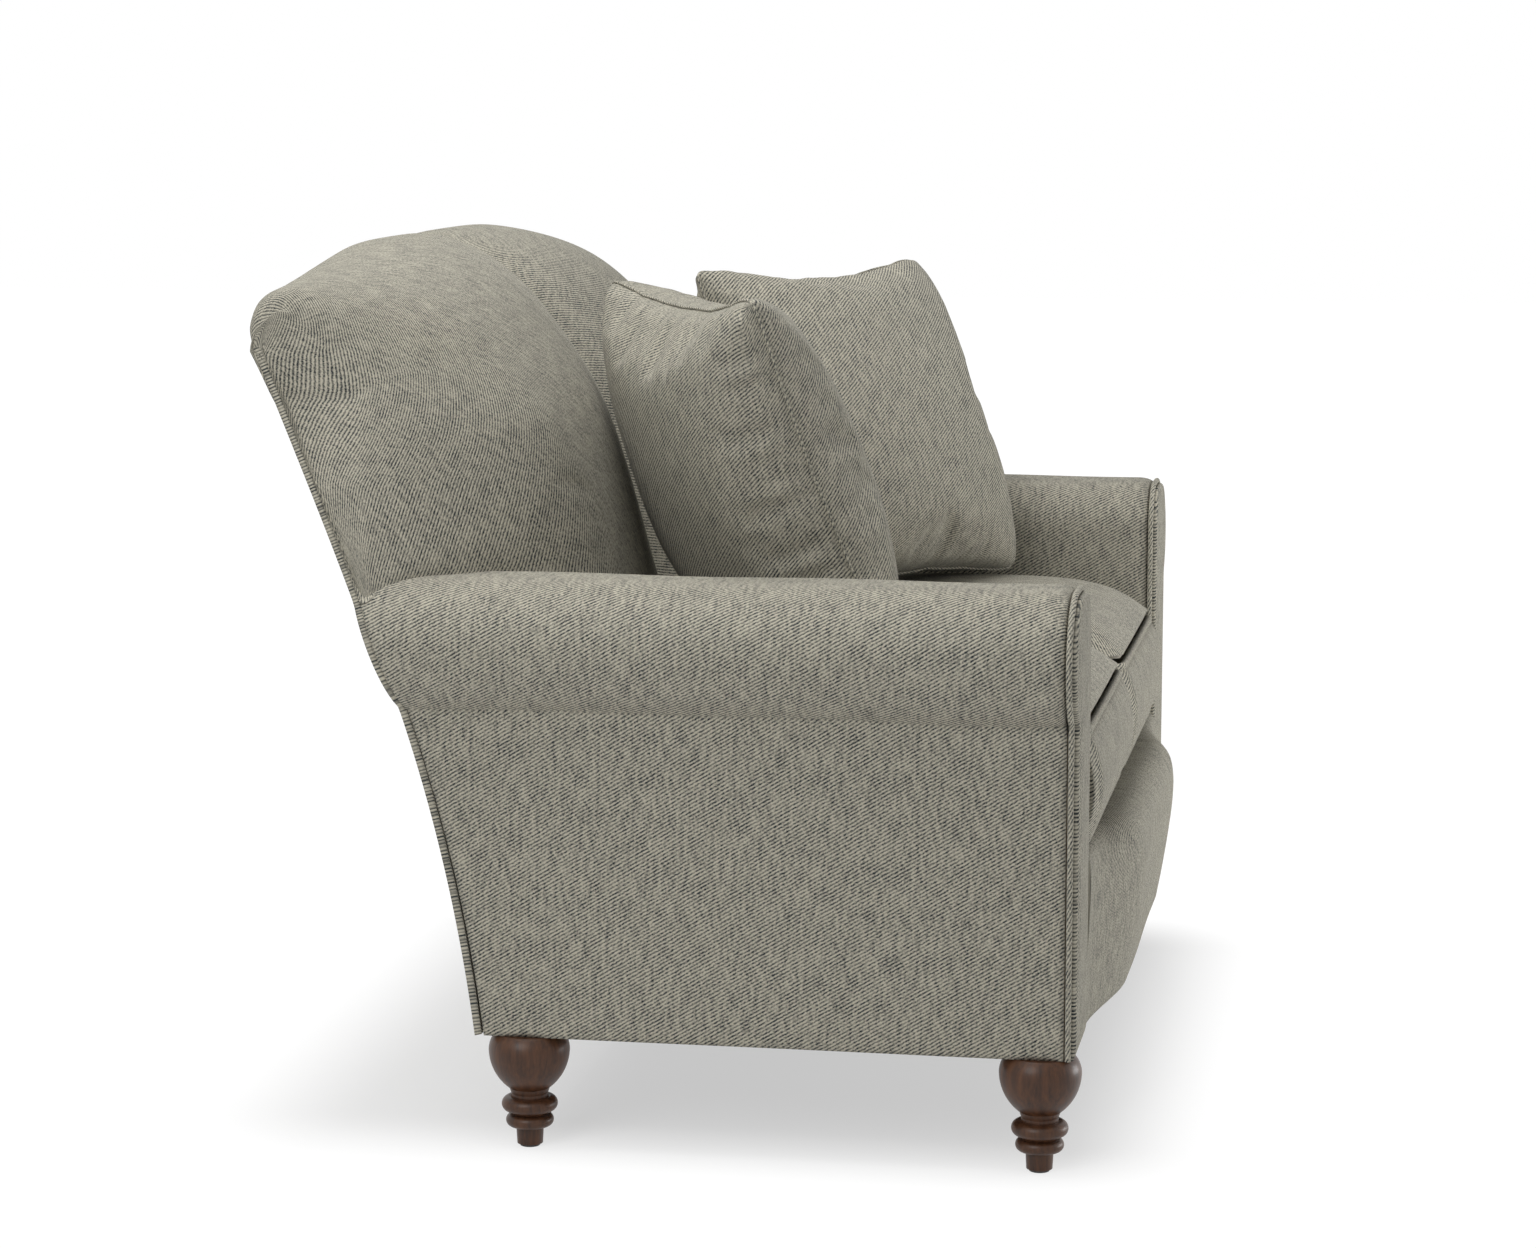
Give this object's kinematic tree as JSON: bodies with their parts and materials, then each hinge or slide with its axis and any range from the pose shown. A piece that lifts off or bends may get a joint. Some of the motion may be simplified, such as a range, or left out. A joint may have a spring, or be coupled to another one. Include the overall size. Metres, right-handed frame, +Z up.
{
  "type": "loveseat",
  "caption": "Compact upholstered loveseat with rolled arms, a split camel back, loose crowned seat cushions and throw pillows, on turned wooden legs.",
  "frame": {"origin": "centre of the footprint's box, on the floor", "axes": "+X to the right as seen from the front, -Y to the front, +Z up"},
  "size_m": [1.264, 0.9499, 0.9751],
  "materials": {
    "upholstery_twill": "grey-beige twill with dark flecks",
    "leg_wood": "dark walnut stain, satin",
    "frame_wood": "raw hardwood",
    "fixing_steel": "zinc plated",
    "glide_nylon": "moulded nylon",
    "foam": "foam and fibre",
    "webbing": "woven elastic webbing",
    "dust_cloth": "black cambric",
    "zip_tape": "coil zip"
  },
  "bodies": {
    "frame": {"arm_cover_left": "upholstery_twill", "arm_cover_right": "upholstery_twill", "arm_front_panel_left": "upholstery_twill", "arm_front_panel_right": "upholstery_twill", "arm_front_welt_left": "upholstery_twill", "arm_front_welt_right": "upholstery_twill", "arm_post_left": "frame_wood", "arm_post_right": "frame_wood", "arm_top_rail_left": "frame_wood", "arm_top_rail_right": "frame_wood", "back_pad_left": "upholstery_twill", "back_pad_right": "upholstery_twill", "back_post_left": "frame_wood", "back_post_right": "frame_wood", "back_webbing": "webbing", "centre_back_post": "frame_wood", "centre_stretcher": "frame_wood", "crest_rail": "frame_wood", "dust_cover": "dust_cloth", "front_apron": "upholstery_twill", "front_seat_rail": "frame_wood", "leg_block_screws": "fixing_steel", "leg_blocks": "frame_wood", "leg_front_left": "leg_wood", "leg_front_right": "leg_wood", "leg_glides": "glide_nylon", "leg_hanger_bolts": "fixing_steel", "leg_rear_left": "leg_wood", "leg_rear_right": "leg_wood", "leg_tee_nuts": "fixing_steel", "lower_back_rail": "frame_wood", "outside_arm_panel_left": "upholstery_twill", "outside_arm_panel_right": "upholstery_twill", "outside_back_panel": "upholstery_twill", "rail_dowels": "frame_wood", "rear_seat_rail": "frame_wood", "seat_deck": "foam", "seat_springs": "fixing_steel", "side_rail_left": "frame_wood", "side_rail_right": "frame_wood", "spring_clips": "fixing_steel", "spring_tie_wires": "fixing_steel"},
    "seat_cushion_left": {"seat_cushion_left_core": "foam", "seat_cushion_left_cover": "upholstery_twill", "seat_cushion_left_welts": "upholstery_twill", "seat_cushion_left_zip": "zip_tape"},
    "pillow_left": {"pillow_left_cover": "upholstery_twill", "pillow_left_fill": "foam"},
    "seat_cushion_right": {"seat_cushion_right_core": "foam", "seat_cushion_right_cover": "upholstery_twill", "seat_cushion_right_welts": "upholstery_twill", "seat_cushion_right_zip": "zip_tape"},
    "pillow_right": {"pillow_right_cover": "upholstery_twill", "pillow_right_fill": "foam"}
  },
  "joints": [
    {"name": "seat_cushion_left_lift", "type": "slide", "parent": "frame", "child": "seat_cushion_left", "axis": [0, 0, 1], "range_m": [0, 0.35]},
    {"name": "pillow_left_lift", "type": "slide", "parent": "seat_cushion_left", "child": "pillow_left", "axis": [0, 0, 1], "range_m": [0, 0.4]},
    {"name": "seat_cushion_right_lift", "type": "slide", "parent": "frame", "child": "seat_cushion_right", "axis": [0, 0, 1], "range_m": [0, 0.35]},
    {"name": "pillow_right_lift", "type": "slide", "parent": "seat_cushion_right", "child": "pillow_right", "axis": [0, 0, 1], "range_m": [0, 0.4]}
  ]
}
